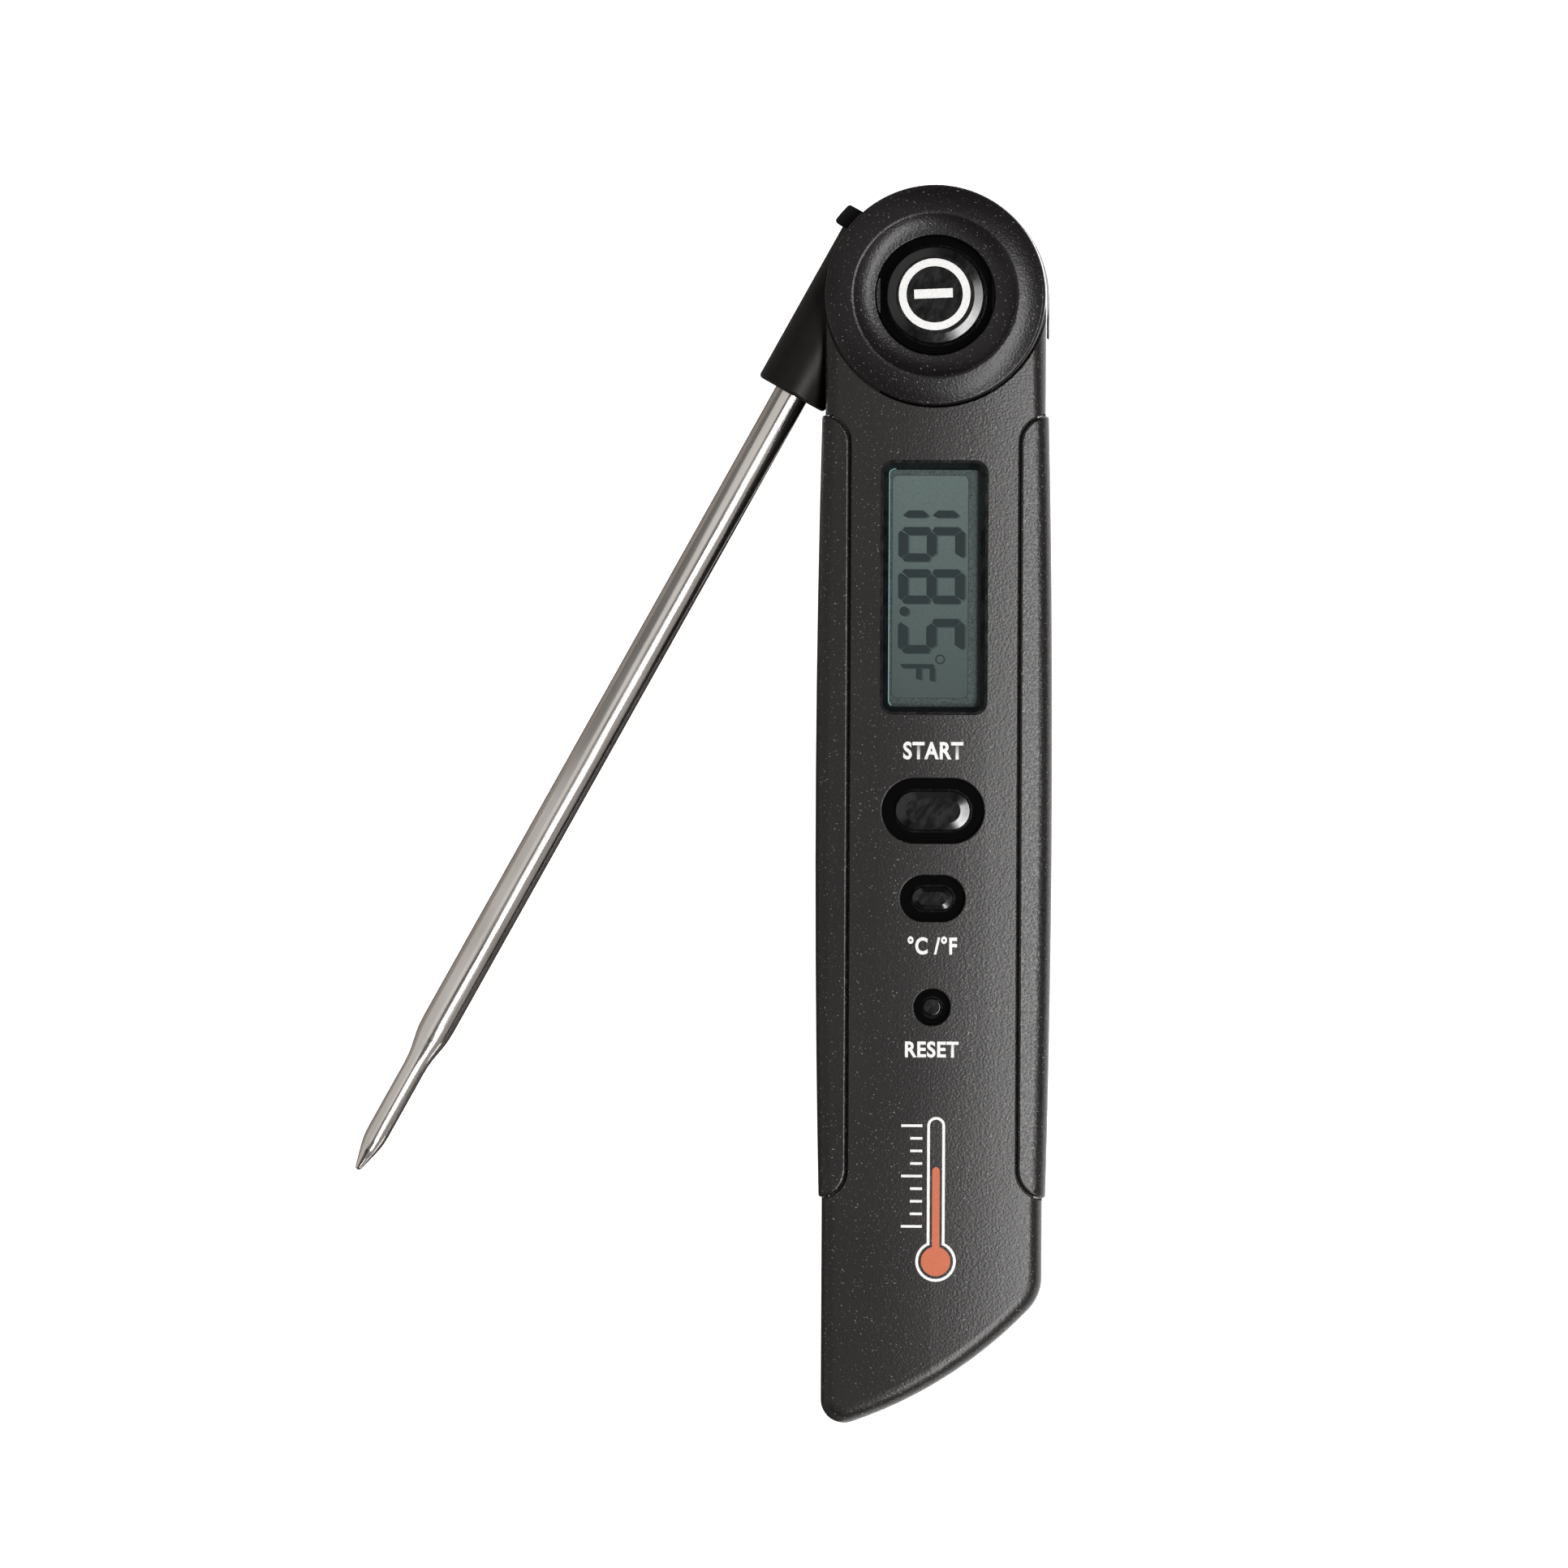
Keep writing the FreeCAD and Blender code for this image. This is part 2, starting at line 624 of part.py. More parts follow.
def board_capacitors():
    """Row of small surface-mount capacitors on the underside of the board."""
    row = [box(x, x + 1.2, -52.0, -50.0, BOARD_BASE - 0.9, BOARD_BASE) for x in (-4.0, -1.4, 1.2, 3.8)]
    return Part.makeCompound(row)


def keypad_membrane():
    """Rubber sheet with one dome under each front button."""
    sheet = rounded_box(-7.0, 7.0, RESET_Y - 3.6, START_Y + 4.6, BOARD_TOP, BOARD_TOP + 0.25, 1.0)
    domes = []
    for y, radius in ((START_Y, 2.2), (UNIT_Y, 1.7), (RESET_Y, 1.5)):
        domes.append(Part.makeCone(radius, radius * 0.6, 0.65, Vector(0, y, BOARD_TOP + 0.25)))
    return sheet.fuse(domes)


def switch_board():
    return rod(BOSS_INNER - 0.2, MID + WEB, MID + WEB + 0.8)


def power_switch():
    """Push switch on the round board, with its short actuator."""
    base = MID + WEB + 0.8
    body = rounded_box(-3.0, 3.0, -3.0, 3.0, base, base + 0.75, 0.4)
    return body.fuse(rod(1.6, base + 0.6, base + 0.95))


def pivot_washer(z):
    return ring(PIVOT_WASHER, BOSS_OUTER + 0.05, z, z + 0.24)


def friction_rings():
    rings = []
    for z in (MID - RING_SPACING, MID + RING_SPACING):
        rings.append(Part.makeTorus(BOSS_OUTER - 0.43, 0.45, Vector(0, 0, z)))
    return Part.makeCompound(rings)


def battery_cell():
    """Cylindrical cell along Y with its positive nub towards the head."""
    can = Part.makeCylinder(
        CELL_RADIUS, CELL_LENGTH - NUB_LENGTH, Vector(CELL_X, CELL_TOP - CELL_LENGTH, CELL_Z), Vector(0, 1, 0)
    )
    can = can.makeFillet(0.5, [edge for edge in can.Edges if edge.BoundBox.YLength < 1e-4])
    nub_start = Vector(CELL_X, CELL_TOP - NUB_LENGTH - 0.1, CELL_Z)
    nub = Part.makeCylinder(1.9, NUB_LENGTH + 0.1, nub_start, Vector(0, 1, 0))
    return can.fuse(nub)


def battery_contact_plus():
    plate = box(CELL_X - 3.5, CELL_X + 3.5, CELL_TOP, CELL_TOP + 0.3, 2.2, BOARD_BASE)
    tab = box(CELL_X - 1.0, CELL_X + 1.0, CELL_TOP, CELL_TOP + 3.0, BOARD_BASE - 0.3, BOARD_BASE)
    return plate.fuse(tab)


def battery_spring():
    """Leaf of spring strip that bulges from its backing plate to the flat end of the cell."""
    end = CELL_TOP - CELL_LENGTH
    half = LEAF_LENGTH / 2
    back = end - LEAF_RISE
    outer = Part.Arc(
        Vector(CELL_X - half, back, 0), Vector(CELL_X, end, 0), Vector(CELL_X + half, back, 0)
    ).toShape()
    inner = Part.Arc(
        Vector(CELL_X + half - 0.5, back, 0),
        Vector(CELL_X, end - LEAF_THICK, 0),
        Vector(CELL_X - half + 0.5, back, 0),
    ).toShape()
    ends = [
        Part.makeLine(Vector(CELL_X + half, back, 0), Vector(CELL_X + half - 0.5, back, 0)),
        Part.makeLine(Vector(CELL_X - half + 0.5, back, 0), Vector(CELL_X - half, back, 0)),
    ]
    strip = Part.Face(Part.Wire([outer, ends[0], inner, ends[1]])).extrude(Vector(0, 0, 3.0))
    strip.translate(Vector(0, 0, CELL_Z - 1.5))
    return strip


def battery_contact_minus():
    back = CELL_TOP - CELL_LENGTH - LEAF_RISE
    return box(CELL_X - 4.0, CELL_X + 4.0, back - 0.3, back, 2.6, CELL_Z + 3.6)


# Probe body. It is drawn folded, with the probe along -Y at x = -PROBE_OFFSET, and then opened.

def opened(shape):
    turned_shape = shape.copy()
    turned_shape.rotate(Vector(0, 0, 0), Vector(0, 0, 1), -PROBE_ANGLE)
    return turned_shape


def along(radius, d0, d1, shift=0.0):
    """Round bar on the probe axis, from d0 to d1 towards the tip."""
    start = Vector(-PROBE_OFFSET + shift, -d0, MID)
    return Part.makeCylinder(radius, d1 - d0, start, Vector(0, -1, 0))


def along_cone(r0, r1, d0, d1):
    return Part.makeCone(r0, r1, d1 - d0, Vector(-PROBE_OFFSET, -d0, MID), Vector(0, -1, 0))


def stop_tab(low, high):
    """Block on the hub rim that meets the handle side when the probe is fully open."""
    block = box(-TAB_RADIUS - 1, -HUB_RADIUS + 1.5, TAB_FROM, TAB_TO, low + 1.2, high - 1.2)
    block = block.common(rod(TAB_RADIUS, low, high))
    outer = [edge for edge in upright_edges(block) if edge.BoundBox.XMax < 1 - TAB_RADIUS]
    return block.makeFillet(TAB_CORNER, outer)


def whole_hub():
    low = MID - HUB_HEIGHT / 2
    high = MID + HUB_HEIGHT / 2
    disc = rod(HUB_RADIUS, low, high)
    disc = disc.makeFillet(0.5, edges_at(disc, low) + edges_at(disc, high))
    arm = along(ARM_RADIUS, ARM_START, ARM_LENGTH)
    end = [edge for edge in arm.Edges if edge.BoundBox.YMax < FINE - ARM_LENGTH]
    arm = arm.makeFillet(0.5, end)
    hub = disc.fuse([arm, stop_tab(low, high)])
    hub = hub.cut(rod(HUB_BORE, low - 1, high + 1))
    hollow = ring(HUB_RADIUS - 1.6, HUB_BORE + 1.4, low + 1.3, high - 1.3)
    hub = hub.cut(hollow)
    socket = along(TUBE_SEAT + 0.01, TUBE_START - 0.01, ARM_LENGTH + 1)
    lead_passage = along(1.2, 0, TUBE_START + 1)
    return hub.cut(socket).cut(lead_passage)


def hub_front():
    return opened(whole_hub().common(box(-30, 30, -30, 30, MID, MID + 10)))


def hub_rear():
    return opened(whole_hub().common(box(-30, 30, -30, 30, MID - 10, MID)))


def on_probe(distance, radius):
    """Point beside the folded probe's axis."""
    return Vector(-PROBE_OFFSET + radius, -distance, MID)


def probe_outline():
    """Half section of the probe tube: seat, tube, faired taper, slim end and rounded point."""
    taper_middle = (TUBE_RADIUS + TIP_RADIUS) / 2
    quarter = (TAPER_MIDDLE - TAPER_FROM) / 2
    taper_in = on_probe(TAPER_FROM + quarter, TUBE_RADIUS - TAPER_BOW)
    taper_out = on_probe(TAPER_TO - quarter, TIP_RADIUS + TAPER_BOW)
    start = on_probe(TUBE_START, 0)
    tube_end = on_probe(TAPER_FROM, TUBE_RADIUS)
    middle = on_probe(TAPER_MIDDLE, taper_middle)
    slim = on_probe(TAPER_TO, TIP_RADIUS)
    point = on_probe(POINT_FROM, TIP_RADIUS)
    cone = on_probe(*POINT_CONE)
    ball = on_probe(*POINT_BALL)
    ball_angle = math.acos(POINT_BALL[1] / BALL_RADIUS)
    ball_centre = on_probe(POINT_BALL[0] - BALL_RADIUS * math.sin(ball_angle), 0)
    sphere = Part.Circle(ball_centre, Vector(0, 0, 1), BALL_RADIUS)
    end = ball_centre - Vector(0, BALL_RADIUS, 0)
    seat = [start, on_probe(TUBE_START, TUBE_SEAT), on_probe(ARM_LENGTH, TUBE_SEAT)]
    edges = Part.makePolygon(seat + [on_probe(ARM_LENGTH, TUBE_RADIUS), tube_end]).Edges
    edges.append(Part.Arc(tube_end, taper_in, middle).toShape())
    edges.append(Part.Arc(middle, taper_out, slim).toShape())
    edges.append(Part.makeLine(slim, point))
    edges.append(Part.Arc(point, on_probe(*POINT_SHOULDER), cone).toShape())
    edges.append(Part.makeLine(cone, ball))
    edges.append(Part.Arc(sphere, -math.pi / 2, -ball_angle).toShape())
    edges.append(Part.makeLine(end, start))
    return Part.Face(Part.Wire(Part.sortEdges(edges)[0]))


def probe_tube():
    """Stainless tube with a reduced, pointed end."""
    outer = probe_outline().revolve(on_probe(0, 0), Vector(0, 1, 0), 360)
    bore = along(TUBE_BORE, TUBE_START - 1, TAPER_FROM)
    bore = bore.fuse([
        along_cone(TUBE_BORE, TIP_BORE, TAPER_FROM, TAPER_TO),
        along(TIP_BORE, TAPER_TO, POINT_FROM - 1.0),
    ])
    return opened(outer.cut(bore))


def thermistor_bead():
    bead = along(0.8, POINT_FROM - 3.4, POINT_FROM - 1.4)
    return opened(bead.makeFillet(0.35, bead.Edges[0:1]))


def probe_leads():
    return opened(Part.makeCompound([along(0.22, 2.0, POINT_FROM - 3.4, shift) for shift in (-0.4, 0.4)]))


def tip_potting():
    """Heat-conducting filler round the bead."""
    filler = along(TIP_BORE - 0.02, TAPER_TO + 1.0, POINT_FROM - 1.1)
    bead = along(0.8, POINT_FROM - 3.4, POINT_FROM - 1.4)
    leads = [along(0.22, 2.0, POINT_FROM - 3.4, shift) for shift in (-0.4, 0.4)]
    return opened(filler.cut(bead.fuse(leads)))


def main():
    left_front, left_rear = left_grips()
    low_washer = MID - ARM_RADIUS - GAP + 0.03
    nodes = {
        "front_shell": front_shell(),
        "rear_shell": rear_shell(),
        "head_cap": head_cap(),
        "left_front_grip": left_front,
        "left_rear_grip": left_rear,
        "right_grip": right_grip(),
        "window_bezel": window_bezel(),
        "display_window": display_window(),
        "lcd_panel": lcd_panel(),
        "lcd_reflector": lcd_reflector(),
        "lcd_frame": lcd_frame(),
        "zebra_strip": zebra_strip(),
        "main_board": main_board(),
        "board_screws": board_screws(),
        "processor_chip": processor_chip(),
        "crystal": crystal(),
        "board_capacitors": board_capacitors(),
        "keypad_membrane": keypad_membrane(),
        "switch_board": switch_board(),
        "power_switch": power_switch(),
        "pivot_washer_rear": pivot_washer(low_washer),
        "pivot_washer_front": pivot_washer(MID + ARM_RADIUS + 0.03),
        "friction_rings": friction_rings(),
        "pivot_screws": pivot_screws(),
        "housing_screws": housing_screws(),
        "battery_cell": battery_cell(),
        "battery_contact_plus": battery_contact_plus(),
        "battery_spring": battery_spring(),
        "battery_contact_minus": battery_contact_minus(),
        "battery_door": battery_door(),
        "power_button": power_button(),
        "start_button": start_button(),
        "unit_button": unit_button(),
        "reset_button": reset_button(),
        "hub_front": hub_front(),
        "hub_rear": hub_rear(),
        "probe_tube": probe_tube(),
        "thermistor_bead": thermistor_bead(),
        "probe_leads": probe_leads(),
        "tip_potting": tip_potting(),
    }
    for name, shape in nodes.items():
        save(shape, name)
        print(name, shape.isValid(), len(shape.Solids), round(shape.Volume, 1))


main()
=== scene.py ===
import json
import math

import bmesh
import bpy
from mathutils import Matrix, Vector
from mathutils.bvhtree import BVHTree


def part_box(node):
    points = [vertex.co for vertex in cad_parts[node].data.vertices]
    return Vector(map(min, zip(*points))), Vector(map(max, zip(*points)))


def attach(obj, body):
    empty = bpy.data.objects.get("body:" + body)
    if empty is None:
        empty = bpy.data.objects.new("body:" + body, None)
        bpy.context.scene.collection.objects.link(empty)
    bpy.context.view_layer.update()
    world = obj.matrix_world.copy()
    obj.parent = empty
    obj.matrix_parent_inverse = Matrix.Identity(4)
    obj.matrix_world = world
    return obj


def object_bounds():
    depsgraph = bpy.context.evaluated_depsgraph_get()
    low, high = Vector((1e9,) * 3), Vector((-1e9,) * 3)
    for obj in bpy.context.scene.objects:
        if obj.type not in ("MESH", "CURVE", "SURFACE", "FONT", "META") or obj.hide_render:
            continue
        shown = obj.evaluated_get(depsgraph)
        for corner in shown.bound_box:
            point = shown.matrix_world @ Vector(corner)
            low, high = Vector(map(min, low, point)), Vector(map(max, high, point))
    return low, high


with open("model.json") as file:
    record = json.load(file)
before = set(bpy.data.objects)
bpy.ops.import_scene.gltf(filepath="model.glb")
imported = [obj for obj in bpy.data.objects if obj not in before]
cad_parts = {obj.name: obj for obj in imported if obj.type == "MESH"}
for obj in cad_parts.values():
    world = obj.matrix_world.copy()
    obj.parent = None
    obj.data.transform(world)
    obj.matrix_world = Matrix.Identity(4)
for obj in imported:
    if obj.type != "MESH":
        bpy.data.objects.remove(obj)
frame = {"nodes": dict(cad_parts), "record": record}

CAD_BOX = [list(corner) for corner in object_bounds()]
MM = 0.001

# Print lies this far above its face, found by rays that start at the drop height.
INK_LIFT = 0.02 * MM
DROP_HEIGHT = 0.05

# Printed letters: added stroke weight, and spacing against the font's own.
LETTER_WEIGHT = 0.03
LETTER_SPACE = 1.08

# Moulded plastic: noise scale and depth of its grain, the colour of its specks, which are painted glints,
# and the painted shade of the polished wells.
GRAIN = 3300
GRAIN_DEPTH = 0.034 * MM
SPECK_GLINT_COLOUR = (0.24, 0.235, 0.23)
WELL_PAINTED_SHADE = (0.0005, 0.0005, 0.0005)

# Studio, in metres: half the floor's side, the standing cards from the pivot, the lamps from the object.
FLOOR_HALF = 2
CARD_AWAY = 0.13
PANEL_REACH = 1.1


def centre(node):
    low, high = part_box(node)
    return Vector([(a + b) / 2 for a, b in zip(low, high)])


def top(node):
    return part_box(node)[1][2]


# ---------------------------------------------------------------- materials


class Shade:
    """A material's node tree with short helpers for the few node kinds used here."""

    def __init__(self, name, **sockets):
        self.material = bpy.data.materials.new(name)
        self.material.use_nodes = True
        self.tree = self.material.node_tree
        self.shader = self.tree.nodes["Principled BSDF"]
        for key, value in sockets.items():
            self.shader.inputs[key.replace("_", " ")].default_value = value

    def node(self, kind, **settings):
        made = self.tree.nodes.new("ShaderNode" + kind)
        for key, value in settings.items():
            setattr(made, key, value)
        return made

    def join(self, source, target):
        self.tree.links.new(source, target)

    def place(self, scale=(1, 1, 1), turn=0.0):
        """Position on the part, in metres, turned about Z and then scaled."""
        spot = self.node("TexCoord").outputs["Object"]
        turned = self.node("Mapping", vector_type="POINT")
        turned.inputs["Rotation"].default_value = (0, 0, turn)
        self.join(spot, turned.inputs["Vector"])
        scaled = self.node("VectorMath", operation="MULTIPLY")
        scaled.inputs[1].default_value = scale
        self.join(turned.outputs[0], scaled.inputs[0])
        return scaled.outputs[0]

    def noise(self, scale, detail=2.0, rough=0.5, where=None):
        texture = self.node("TexNoise")
        texture.inputs["Scale"].default_value = scale
        texture.inputs["Detail"].default_value = detail
        texture.inputs["Roughness"].default_value = rough
        self.join(where or self.place(), texture.inputs["Vector"])
        return texture.outputs["Fac"]

    def spread(self, value, low, high, start=0.0, end=1.0):
        """Maps start..end of a value onto low..high."""
        mapped = self.node("MapRange")
        mapped.inputs["From Min"].default_value = start
        mapped.inputs["From Max"].default_value = end
        mapped.inputs["To Min"].default_value = low
        mapped.inputs["To Max"].default_value = high
        self.join(value, mapped.inputs["Value"])
        return mapped.outputs["Result"]

    def math(self, operation, first, second):
        made = self.node("Math", operation=operation)
        for socket, value in zip(made.inputs, (first, second)):
            if isinstance(value, (int, float)):
                socket.default_value = value
            else:
                self.join(value, socket)
        return made.outputs[0]

    def blend(self, factor, first, second):
        """Colour between two colours, or between a colour and another output."""
        mix = self.node("Mix", data_type="RGBA")
        self.join(factor, mix.inputs["Factor"])
        for index, value in ((6, first), (7, second)):
            if isinstance(value, tuple):
                mix.inputs[index].default_value = (*value, 1)
            else:
                self.join(value, mix.inputs[index])
        return mix.outputs[2]

    def bump(self, height, strength, depth):
        made = self.node("Bump")
        made.inputs["Strength"].default_value = strength
        made.inputs["Distance"].default_value = depth
        self.join(height, made.inputs["Height"])
        return made.outputs["Normal"]

    def set(self, socket, output):
        self.join(output, self.shader.inputs[socket])


def axis_of(shade, axis):
    split = shade.node("SeparateXYZ")
    shade.join(shade.node("TexCoord").outputs["Object"], split.inputs[0])
    return split.outputs[axis]


def moulded(name, dark, light, rough, gloss, polish_and_shade=None):
    """Spark-eroded plastic: fine grain, slow mottling and brighter specks painted as glints, smoother at a
    glancing angle; where the mask is one, polished and painted near-black as shade.
    """
    shade = Shade(name, IOR=1.5, Specular_IOR_Level=gloss)
    fine = shade.noise(GRAIN, 1.0, 0.5)
    slow = shade.noise(90, 3.0, 0.55)
    # Brighter specks in the base colour: painted glints of the grain.
    glint_specks = shade.spread(shade.noise(1.5 * GRAIN, 0.0), 0.0, 1.0, 0.755, 0.83)
    mottled = shade.blend(shade.spread(slow, 0.0, 1.0, 0.3, 0.7), dark, light)
    colour = shade.blend(shade.spread(glint_specks, 0.0, 0.6), mottled, SPECK_GLINT_COLOUR)
    roughness = shade.spread(fine, rough - 0.06, rough + 0.06, 0.3, 0.7)
    facing = shade.node("LayerWeight")
    facing.inputs["Blend"].default_value = 0.5
    sheen = shade.spread(facing.outputs["Facing"], 0.0, 1.0, 0.8, 0.93)
    height = fine
    if polish_and_shade:
        inside = polish_and_shade(shade)
        # Painted shade: the recesses are coloured near-black, and made polished and unbumped.
        colour = shade.blend(inside, colour, WELL_PAINTED_SHADE)
        polished = shade.spread(inside, 0.0, 0.12)
        outside = shade.math("MULTIPLY", shade.spread(inside, 1.0, 0.0), rough)
        roughness = shade.math("ADD", polished, outside)
        height = shade.math("MULTIPLY", fine, shade.spread(inside, 1.0, 0.0))
    shade.set("Base Color", colour)
    shade.set("Roughness", shade.math("MULTIPLY", roughness, shade.spread(sheen, 1.0, 0.3)))
    height = shade.math("MULTIPLY", height, shade.spread(sheen, 1.0, 0.2))
    shade.set("Normal", shade.bump(height, 1.0, GRAIN_DEPTH))
    return shade.material


def in_wells(shade):
    """One inside the window opening and the key wells, nought elsewhere."""
    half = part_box("display_window")[1][0] + 0.25 * MM
    floor = top("front_shell") - 0.35 * MM
    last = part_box("reset_button")[0][1] - 3 * MM
    near = shade.math("LESS_THAN", shade.math("ABSOLUTE", axis_of(shade, 0), 0.0), half)
    low = shade.math("LESS_THAN", axis_of(shade, 2), floor)
    above = shade.math("GREATER_THAN", axis_of(shade, 2), top("rear_shell"))
    reached = shade.math("GREATER_THAN", axis_of(shade, 1), last)
    sunk = shade.math("MULTIPLY", near, low)
    return shade.math("MULTIPLY", sunk, shade.math("MULTIPLY", above, reached))


def in_cap_well(shade):
    """One on the wall of the hole in the head cap."""
    across = shade.math("POWER", axis_of(shade, 0), 2)
    along = shade.math("POWER", axis_of(shade, 1), 2)
    edge = (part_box("power_button")[1][0] + 0.9 * MM) ** 2
    return shade.math("LESS_THAN", shade.math("ADD", across, along), edge)


def shell_plastic():
    """Housing plastic, polished inside the window opening and the key wells, where painted shade makes it
    near-black.
    """
    dark, light = (0.0066, 0.0056, 0.0053), (0.0092, 0.0081, 0.0076)
    return moulded("shell_plastic", dark, light, 0.35, 0.32, polish_and_shade=in_wells)


def grip_plastic():
    """Side panels, a shade darker than the housing."""
    return moulded("grip_plastic", (0.0055, 0.0048, 0.0046), (0.0078, 0.0069, 0.0066), 0.34, 0.32)


def cap_plastic():
    """Head cap, darker and less glossy than the housing, with a polished well painted near-black as shade.
    """
    dark, light = (0.005, 0.0042, 0.0042), (0.007, 0.006, 0.006)
    return moulded("cap_plastic", dark, light, 0.33, 0.23, polish_and_shade=in_cap_well)


def satin_plastic(name, colour, rough, gloss=0.5):
    """Smooth moulded plastic with faint flow marks and rubbed patches."""
    shade = Shade(name, IOR=1.49, Specular_IOR_Level=gloss)
    rubbed = shade.noise(160, 4.0, 0.6)
    lighter = tuple(c * 1.35 + 0.002 for c in colour)
    shade.set("Base Color", shade.blend(shade.spread(rubbed, 0, 1, 0.35, 0.7), colour, lighter))
    shade.set("Roughness", shade.spread(rubbed, rough - 0.05, rough + 0.07, 0.3, 0.7))
    shade.set("Normal", shade.bump(shade.noise(2600, 2.0), 0.25, 0.012 * MM))
    return shade.material


def gloss_plastic():
    """Polished black keys with hairline rub marks."""
    shade = Shade("gloss_black", IOR=1.5)
    rubs = shade.noise(1.0, 3.0, 0.6, shade.place((1500, 700, 900), 0.5))
    shade.set("Base Color", shade.blend(rubs, (0.0008, 0.0008, 0.001), (0.002, 0.0018, 0.0021)))
    shade.set("Roughness", shade.spread(rubs, 0.17, 0.25, 0.35, 0.65))
    shade.set("Normal", shade.bump(shade.noise(420, 2.0), 0.12, 0.02 * MM))
    return shade.material


def probe_steel():
    """Polished stainless tube with draw lines along it."""
    shade = Shade("stainless", Metallic=1.0, Specular_Tint=(0.55, 0.5, 0.46, 1))
    lines = shade.noise(1.0, 3.0, 0.6, shade.place((5200, 55, 5200), PROBE_TURN))
    stains = shade.noise(120, 3.0)
    stained = shade.spread(stains, 0, 1, 0.3, 0.7)
    shade.set("Base Color", shade.blend(stained, (0.60, 0.565, 0.53), (0.68, 0.65, 0.62)))
    shade.set("Roughness", shade.spread(lines, 0.11, 0.24, 0.3, 0.7))
    shade.set("Normal", shade.bump(lines, 0.35, 0.006 * MM))
    return shade.material


def plain_metal(name, colour, rough):
    """Metal with fine handling marks."""
    shade = Shade(name, Metallic=1.0)
    marks = shade.noise(900, 4.0, 0.6)
    darker = tuple(c * 0.72 for c in colour)
    shade.set("Base Color", shade.blend(shade.spread(marks, 0, 1, 0.35, 0.65), darker, colour))
    shade.set("Roughness", shade.spread(marks, rough - 0.08, rough + 0.12, 0.3, 0.7))
    shade.set("Normal", shade.bump(marks, 0.2, 0.01 * MM))
    return shade.material


def clear_window():
    """Display glass, dark enough to leave no veil over the display."""
    shade = Shade("clear_window", Base_Color=(0.03, 0.05, 0.05, 1), Alpha=0.07, IOR=1.5, Roughness=0.03)
    shade.set("Normal", shade.bump(shade.noise(300, 2.0), 0.05, 0.01 * MM))
    return shade.material


def circuit_board():
    """Green solder mask with copper tracks showing through as lighter lanes."""
    shade = Shade("circuit_board", IOR=1.5)
    lanes = shade.node("TexBrick")
    lanes.inputs["Scale"].default_value = 260
    lanes.inputs["Mortar Size"].default_value = 0.06
    shade.join(shade.place(), lanes.inputs["Vector"])
    track = shade.spread(lanes.outputs["Fac"], 0.0, 1.0)
    shade.set("Base Color", shade.blend(track, (0.008, 0.07, 0.03), (0.03, 0.17, 0.06)))
    shade.set("Roughness", shade.spread(shade.noise(1500), 0.28, 0.42))
    shade.set("Normal", shade.bump(track, 0.3, 0.02 * MM))
    return shade.material


def matt(name, colour, rough=0.75):
    """Dull, slightly powdery surface."""
    shade = Shade(name)
    fine = shade.noise(1800, 4.0, 0.6)
    lighter = tuple(min(1.0, c * 1.25) for c in colour)
    shade.set("Base Color", shade.blend(fine, colour, lighter))
    shade.set("Roughness", shade.spread(fine, rough - 0.08, rough + 0.08, 0.3, 0.7))
    shade.set("Normal", shade.bump(fine, 0.3, 0.015 * MM))
    return shade.material


def display_back():
    """Frosted rim of the display, grainy and slightly bluer than the picture area."""
    shade = Shade("lcd_glass", IOR=1.5, Specular_IOR_Level=0.15)
    grain = shade.noise(4200, 1.0)
    frosted = shade.spread(grain, 0, 1, 0.3, 0.7)
    shade.set("Base Color", shade.blend(frosted, (0.027, 0.0365, 0.0365), (0.0675, 0.084, 0.084)))
    shade.set("Roughness", shade.spread(grain, 0.32, 0.5))
    shade.set("Normal", shade.bump(grain, 0.35, 0.02 * MM))
    return shade.material


def display_area():
    """Grey-green picture area, lighter towards the pivot and darker towards the toe."""
    shade = Shade("lcd_area", IOR=1.45, Specular_IOR_Level=0.15)
    low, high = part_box("display_window")[0][1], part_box("display_window")[1][1]
    along = shade.spread(axis_of(shade, 1), 1.0, 0.0, low, high)
    weave = shade.noise(2400, 2.0)
    base = shade.blend(along, (0.1, 0.135, 0.127), (0.048, 0.066, 0.063))
    woven = shade.spread(weave, 0.0, 0.22, 0.35, 0.65)
    shade.set("Base Color", shade.blend(woven, base, (0.045, 0.06, 0.057)))
    shade.set("Roughness", shade.spread(weave, 0.4, 0.55))
    shade.set("Normal", shade.bump(weave, 0.1, 0.01 * MM))
    return shade.material


def segment_ink(name, colour, alpha):
    """Thin see-through layer of the display, or of the painted highlight on the glass edge."""
    shade = Shade(name, Alpha=alpha, IOR=1.45, Specular_IOR_Level=0.1)
    edge = shade.noise(1600, 2.0)
    shade.set("Base Color", shade.blend(edge, colour, tuple(c * 1.3 for c in colour)))
    shade.set("Roughness", shade.spread(edge, 0.4, 0.55))
    return shade.material


def printed(name, colour):
    """Pad-printed ink: slightly uneven cover over the grain below."""
    shade = Shade(name, IOR=1.45)
    cover = shade.noise(3600, 2.0)
    thin = tuple(c * 0.86 for c in colour)
    shade.set("Base Color", shade.blend(shade.spread(cover, 0, 1, 0.3, 0.6), thin, colour))
    shade.set("Roughness", shade.spread(cover, 0.42, 0.6))
    shade.set("Normal", shade.bump(cover, 0.4, 0.01 * MM))
    return shade.material


def probe_turn():
    """Angle of the probe from -Y, read from where its tube lies."""
    low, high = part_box("probe_tube")
    return math.atan2(high[0] - low[0], high[1] - low[1])


PROBE_TURN = probe_turn()

